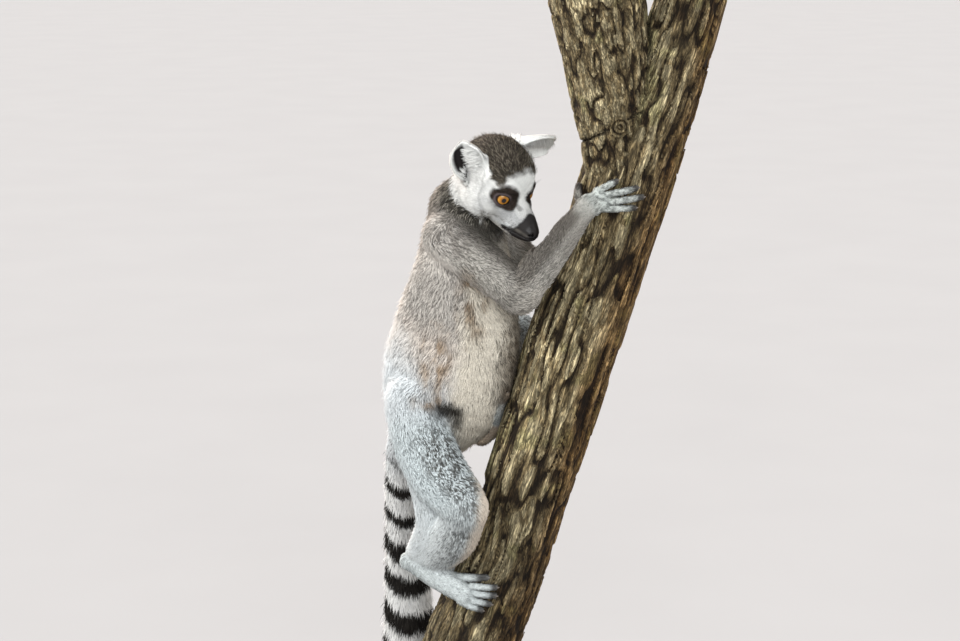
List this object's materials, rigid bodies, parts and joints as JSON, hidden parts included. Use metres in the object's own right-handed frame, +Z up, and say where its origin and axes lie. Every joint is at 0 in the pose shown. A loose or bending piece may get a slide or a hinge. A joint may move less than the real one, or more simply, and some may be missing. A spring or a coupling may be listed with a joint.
{
  "type": "ring-tailed lemur display model",
  "caption": "Life-size ring-tailed lemur clinging to a leaning forked tree trunk, held by rods on a flat display base.",
  "frame": {"origin": "centre of the display base's underside, on the floor", "axes": "+Z up, +X the way the trunk leans and roughly the way the animal faces, -Y the animal's right side"},
  "size_m": [0.46, 0.32, 1.0721],
  "materials": {
    "face_coat": "short dense fur, white with a dark cap, dark eye patches and a black nose",
    "body_coat": "soft grey-brown fur, cream underneath",
    "limb_coat": "short pale grey fur",
    "tail_coat": "long soft fur in black and white rings",
    "eye": "glossy amber",
    "bark": "rough ridged bark, matt",
    "base_wood": "satin dark stain",
    "dark_steel": "satin black"
  },
  "bodies": {
    "root": {"head": "face_coat", "ear_right": "face_coat", "ear_left": "face_coat", "eye_right": "eye", "eye_left": "eye", "neck": "body_coat", "torso": "body_coat", "upper_arm_right": "body_coat", "forearm_right": "body_coat", "hand_right": "limb_coat", "upper_arm_left": "body_coat", "forearm_left": "body_coat", "hand_left": "limb_coat", "thigh_right": "limb_coat", "shin_right": "limb_coat", "foot_right": "limb_coat", "thigh_left": "limb_coat", "shin_left": "limb_coat", "foot_left": "limb_coat", "tail_base": "tail_coat", "tail_upper": "tail_coat", "tail_middle": "tail_coat", "tail_lower": "tail_coat", "tail_tip": "tail_coat", "perch_trunk": "bark", "stand_base": "base_wood", "stand_flange": "dark_steel", "stand_rod_1": "dark_steel", "stand_rod_2": "dark_steel", "stand_collar_1": "dark_steel", "stand_collar_2": "dark_steel"}
  },
  "joints": []
}
